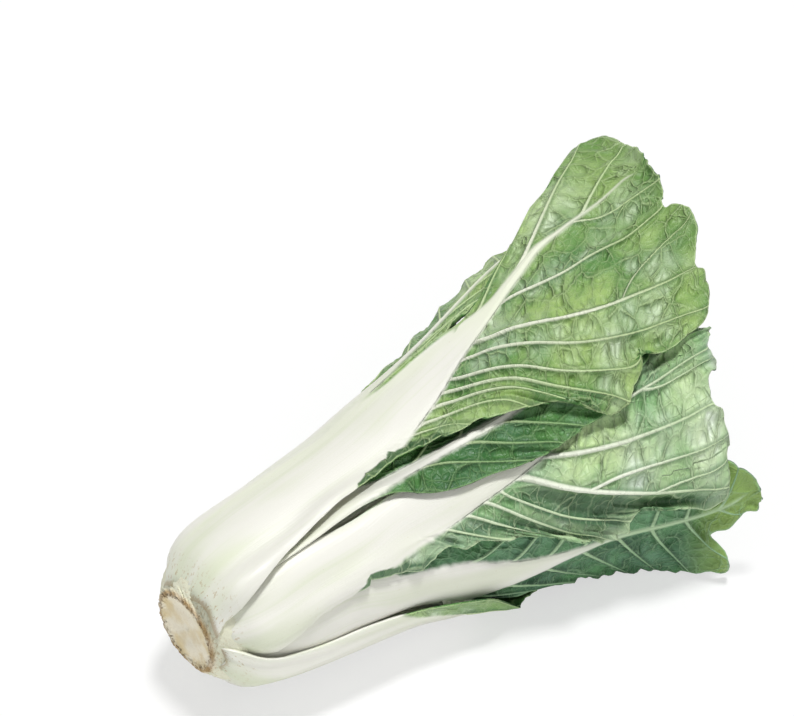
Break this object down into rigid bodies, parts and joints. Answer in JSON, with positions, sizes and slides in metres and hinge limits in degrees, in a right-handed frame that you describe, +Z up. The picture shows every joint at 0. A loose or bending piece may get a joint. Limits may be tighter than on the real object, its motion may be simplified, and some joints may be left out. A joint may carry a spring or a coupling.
{
  "type": "bok choy",
  "caption": "Whole head of bok choy lying on its side: a cut stem with nested leaves, each a thick white stalk that widens into a veined, ruffled green blade.",
  "frame": {"origin": "on the surface the head lies on, under the middle of its bounding box", "axes": "+X from the cut stem to the leaf tips, +Z up, -Y the side seen in the picture"},
  "size_m": [0.311, 0.2004, 0.121],
  "materials": {
    "cut_stem": "dry cut flesh with a browned rim",
    "upper_leaf": "waxy satin, white stalk and mid-green blade",
    "lower_leaf": "waxy satin, white stalk and dark blue-green blade",
    "inner_leaf": "waxy satin, cream stalk and dark green blade",
    "heart_leaf": "satin, pale yellow-green"
  },
  "bodies": {
    "root": {"stem_butt": "cut_stem", "heart_leaf_small": "heart_leaf", "heart_leaf_middle": "heart_leaf", "heart_leaf_large": "heart_leaf", "inner_leaf_far": "inner_leaf", "inner_leaf_near": "inner_leaf", "inner_leaf_top": "inner_leaf", "bottom_far_leaf": "lower_leaf", "near_side_leaf": "lower_leaf", "far_side_leaf": "lower_leaf", "top_near_leaf": "upper_leaf", "gap_leaf": "inner_leaf", "bottom_near_leaf": "lower_leaf", "top_far_leaf": "upper_leaf"}
  },
  "joints": []
}
